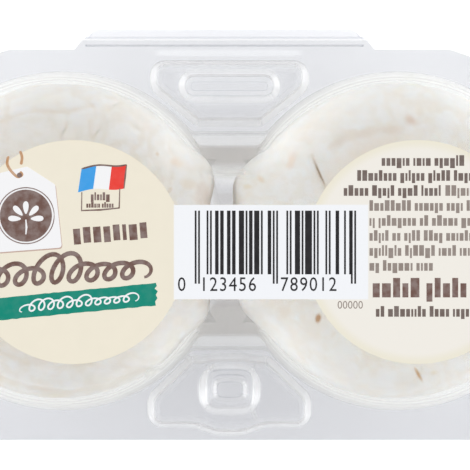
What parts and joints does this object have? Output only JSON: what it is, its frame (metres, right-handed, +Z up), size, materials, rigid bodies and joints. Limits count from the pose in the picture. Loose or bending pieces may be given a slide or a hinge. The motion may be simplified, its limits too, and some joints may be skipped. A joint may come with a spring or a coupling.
{
  "type": "pack of crottin goat cheese",
  "caption": "Clear hinged plastic pack formed round small round goat cheeses that lie side by side, with a paper label across its top.",
  "frame": {"origin": "middle of the pack's footprint, on the surface that the cups rest on", "axes": "+X along the row of cups, +Y towards the hinge, +Z up out of the label"},
  "size_m": [0.1178, 0.0662, 0.0316],
  "materials": {
    "tray_sheet": "clear, smooth",
    "lid_sheet": "clear, smooth",
    "label_paper": "coated, low sheen",
    "rind": "soft, matt, slightly wrinkled"
  },
  "bodies": {
    "tray": {"tray": "tray_sheet", "cheese_left": "rind", "cheese_right": "rind"},
    "lid": {"lid": "lid_sheet", "label": "label_paper"}
  },
  "joints": [
    {"name": "lid_hinge", "type": "hinge", "parent": "tray", "child": "lid", "pos_m": [0, 0.03235, 0.0191], "axis": [-1, 0, 0], "range_deg": [0, 180]}
  ]
}
